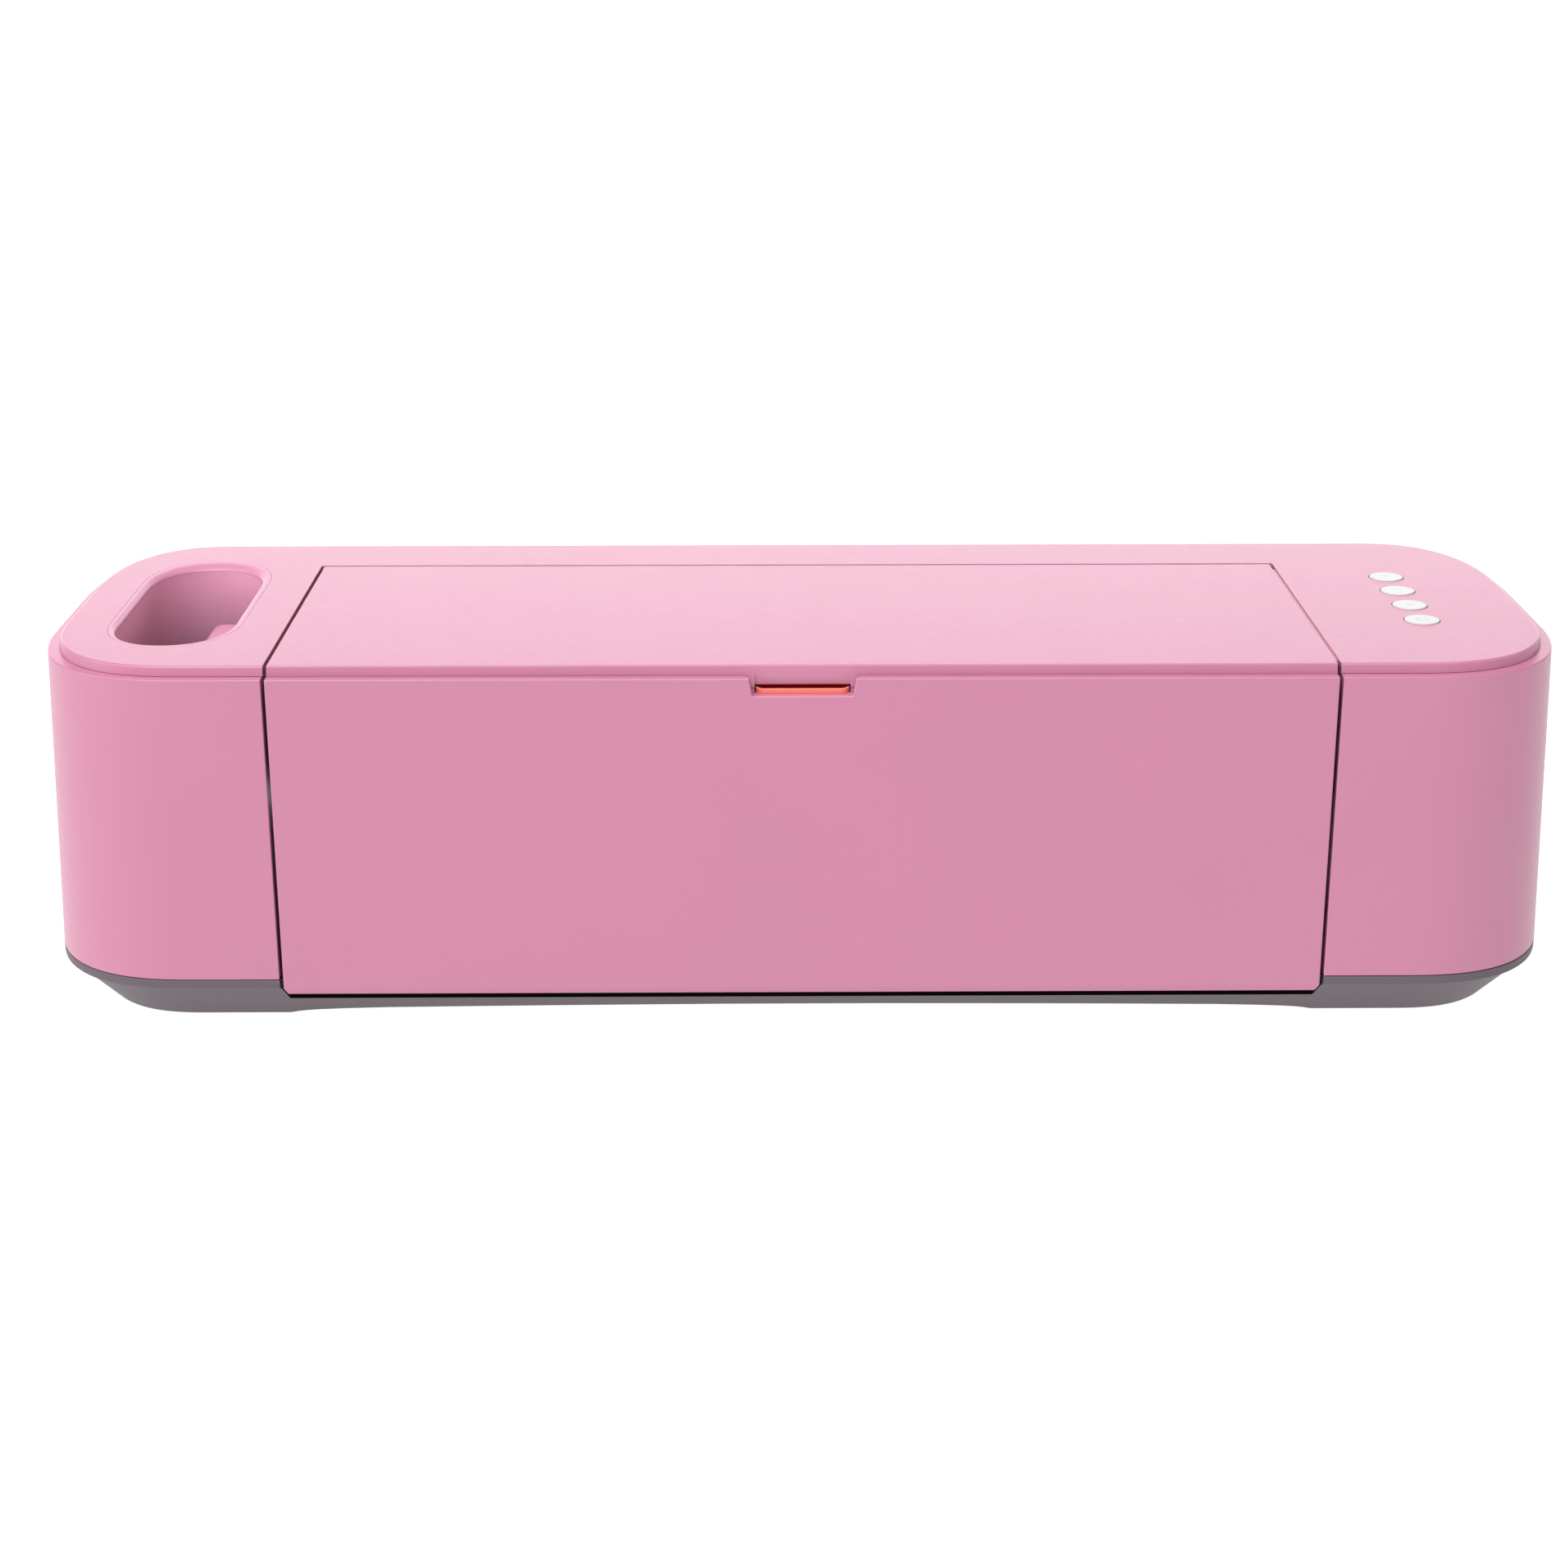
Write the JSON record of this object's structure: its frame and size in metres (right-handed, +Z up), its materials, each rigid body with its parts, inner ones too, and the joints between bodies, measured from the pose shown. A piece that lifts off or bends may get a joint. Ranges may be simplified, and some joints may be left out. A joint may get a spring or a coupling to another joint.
{
  "type": "desktop vinyl cutter",
  "caption": "Wide desktop craft cutting machine with a lift-up lid, a fold-down front door, a tool cup, push buttons, feed rollers and a belt-driven tool carriage.",
  "frame": {"origin": "middle of the footprint, on the surface that the machine stands on", "axes": "+Z up, +X to the right seen from the front, the front door faces -Y"},
  "size_m": [0.5852, 0.19, 0.1449],
  "materials": {
    "pink_shell": "satin moulded",
    "pink_inner": "matte moulded",
    "grey_base": "matte moulded",
    "white_plastic": "satin moulded",
    "orange_insert": "satin, slightly translucent",
    "charcoal_plastic": "fine texture",
    "motor_case": "satin",
    "steel": "ground",
    "aluminium": "satin anodised",
    "brass": "machined",
    "rubber": "matte",
    "circuit_board": "solder mask"
  },
  "bodies": {
    "chassis": {"left_shell": "pink_shell", "right_shell": "pink_shell", "rear_panel": "pink_shell", "top_deck": "pink_shell", "tool_cup": "pink_shell", "base_tray": "grey_base", "left_mat_guide": "white_plastic", "right_mat_guide": "white_plastic", "left_side_plate": "charcoal_plastic", "right_side_plate": "charcoal_plastic", "platen": "charcoal_plastic", "power_jack": "charcoal_plastic", "feed_motor": "motor_case", "carriage_motor": "motor_case", "case_screw_front_left": "steel", "case_screw_front_right": "steel", "case_screw_rear_left": "steel", "case_screw_rear_right": "steel", "upper_guide_rod": "steel", "lower_guide_rod": "steel", "data_port": "steel", "pinch_bar": "aluminium", "carriage_rail": "aluminium", "idler_bracket": "aluminium", "foot_pad_front_left": "rubber", "foot_pad_front_right": "rubber", "foot_pad_rear_left": "rubber", "foot_pad_rear_right": "rubber", "feed_belt": "rubber", "carriage_belt": "rubber", "button_board": "circuit_board", "main_board": "circuit_board"},
    "lid": {"lid": "pink_shell", "lid_liner": "pink_inner", "lid_pin_left": "steel", "lid_pin_right": "steel"},
    "door": {"front_door": "pink_shell", "door_liner": "pink_inner", "finger_insert": "orange_insert", "door_pin_left": "steel", "door_pin_right": "steel"},
    "button_1": {"button_1": "white_plastic"},
    "button_2": {"button_2": "white_plastic"},
    "button_3": {"button_3": "white_plastic"},
    "button_4": {"button_4": "white_plastic"},
    "carriage": {"carriage_frame": "charcoal_plastic"},
    "blade_tool": {"blade_slider": "white_plastic", "blade_housing": "aluminium"},
    "pen_tool": {"pen_slider": "white_plastic", "pen_adapter": "charcoal_plastic"},
    "blade_lever": {"blade_clamp_lever": "pink_shell"},
    "pen_lever": {"pen_clamp_lever": "pink_shell"},
    "drive_roller": {"drive_roller": "steel", "feed_pulley": "aluminium"},
    "feed_motor_shaft": {"feed_motor_pulley": "brass"},
    "left_pinch": {"left_pinch_roller": "rubber"},
    "right_pinch": {"right_pinch_roller": "rubber"},
    "carriage_motor_shaft": {"motor_pulley": "brass"},
    "idler": {"idler_pulley": "aluminium"}
  },
  "joints": [
    {"name": "lid_hinge", "type": "hinge", "parent": "chassis", "child": "lid", "pos_m": [0, 0.0519, 0.1419], "axis": [-1, 0, 0], "range_deg": [0, 80]},
    {"name": "door_hinge", "type": "hinge", "parent": "chassis", "child": "door", "pos_m": [0, -0.0916, 0.02], "axis": [1, 0, 0], "range_deg": [0, 90]},
    {"name": "button_1_press", "type": "slide", "parent": "chassis", "child": "button_1", "axis": [0, 0, -1], "range_m": [0, 0.0008], "stiffness_N_per_m": 300, "springref_m": -0.001},
    {"name": "button_2_press", "type": "slide", "parent": "chassis", "child": "button_2", "axis": [0, 0, -1], "range_m": [0, 0.0008], "stiffness_N_per_m": 300, "springref_m": -0.001},
    {"name": "button_3_press", "type": "slide", "parent": "chassis", "child": "button_3", "axis": [0, 0, -1], "range_m": [0, 0.0008], "stiffness_N_per_m": 300, "springref_m": -0.001},
    {"name": "button_4_press", "type": "slide", "parent": "chassis", "child": "button_4", "axis": [0, 0, -1], "range_m": [0, 0.0008], "stiffness_N_per_m": 300, "springref_m": -0.001},
    {"name": "carriage_slide", "type": "slide", "parent": "chassis", "child": "carriage", "axis": [1, 0, 0], "range_m": [-0.316, 0]},
    {"name": "blade_slide", "type": "slide", "parent": "carriage", "child": "blade_tool", "axis": [0, 0, 1], "range_m": [-0.006, 0], "stiffness_N_per_m": 150, "springref_m": 0.006},
    {"name": "pen_slide", "type": "slide", "parent": "carriage", "child": "pen_tool", "axis": [0, 0, 1], "range_m": [-0.006, 0], "stiffness_N_per_m": 150, "springref_m": 0.006},
    {"name": "blade_clamp_hinge", "type": "hinge", "parent": "blade_tool", "child": "blade_lever", "pos_m": [0.143, -0.016, 0.068], "axis": [1, 0, 0], "range_deg": [0, 60]},
    {"name": "pen_clamp_hinge", "type": "hinge", "parent": "pen_tool", "child": "pen_lever", "pos_m": [0.173, -0.016, 0.068], "axis": [1, 0, 0], "range_deg": [0, 60]},
    {"name": "drive_roller_spin", "type": "hinge", "parent": "chassis", "child": "drive_roller", "pos_m": [0, 0.011, 0.0225], "axis": [1, 0, 0], "continuous": true},
    {"name": "feed_motor_spin", "type": "hinge", "parent": "chassis", "child": "feed_motor_shaft", "pos_m": [0.207, 0.06, 0.04], "axis": [1, 0, 0], "continuous": true},
    {"name": "left_pinch_spin", "type": "hinge", "parent": "chassis", "child": "left_pinch", "pos_m": [-0.15, 0.011, 0.037], "axis": [1, 0, 0], "continuous": true},
    {"name": "right_pinch_spin", "type": "hinge", "parent": "chassis", "child": "right_pinch", "pos_m": [0.15, 0.011, 0.037], "axis": [1, 0, 0], "continuous": true},
    {"name": "carriage_motor_spin", "type": "hinge", "parent": "chassis", "child": "carriage_motor_shaft", "pos_m": [0.175, 0.05, 0.082], "axis": [0, 1, 0], "range_deg": [-2600, 20]},
    {"name": "idler_spin", "type": "hinge", "parent": "chassis", "child": "idler", "pos_m": [-0.175, 0.05, 0.082], "axis": [0, 1, 0], "range_deg": [-2600, 20]}
  ],
  "couplings": [
    {"joint": "feed_motor_spin", "follows": "drive_roller_spin", "ratio": 2.087},
    {"joint": "left_pinch_spin", "follows": "drive_roller_spin", "ratio": -0.9143},
    {"joint": "right_pinch_spin", "follows": "drive_roller_spin", "ratio": -0.9143},
    {"joint": "carriage_motor_spin", "follows": "carriage_slide", "rad_per_m": 142.86},
    {"joint": "idler_spin", "follows": "carriage_slide", "rad_per_m": 142.86}
  ]
}
